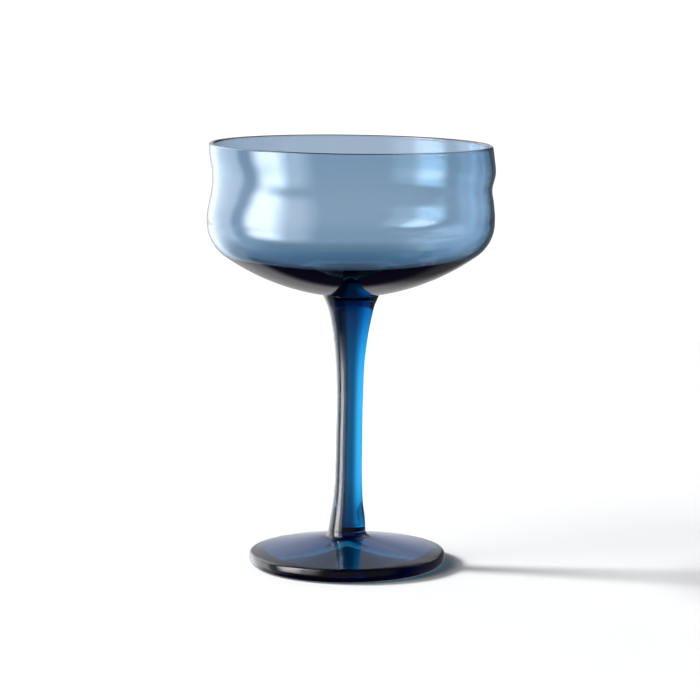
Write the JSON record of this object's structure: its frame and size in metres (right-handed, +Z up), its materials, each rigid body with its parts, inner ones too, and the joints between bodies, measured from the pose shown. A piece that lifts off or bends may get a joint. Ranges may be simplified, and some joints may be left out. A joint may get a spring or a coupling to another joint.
{
  "type": "stemmed cocktail glass",
  "caption": "Hand-blown stemmed cocktail glass: wide wavy saucer bowl with a rolling rim on a waisted solid stem and a shallow cone foot, blue glass.",
  "frame": {"origin": "on the table, under the middle of the whole glass: midway between the foot's axis and the bowl's axis, which are 1.6 mm apart", "axes": "+Z up along the stem; the bowl leans a little towards +X, and the rim is lower on that side; -Y is the side seen from the front"},
  "size_m": [0.1107, 0.1104, 0.1642],
  "materials": {
    "bowl_glass": "clear blue, fire polished",
    "stem_glass": "clear blue, fire polished, deep where it is thick",
    "foot_glass": "clear blue, fire polished, deep where it is thick"
  },
  "bodies": {
    "root": {"foot": "foot_glass", "stem": "stem_glass", "bowl": "bowl_glass"}
  },
  "joints": []
}
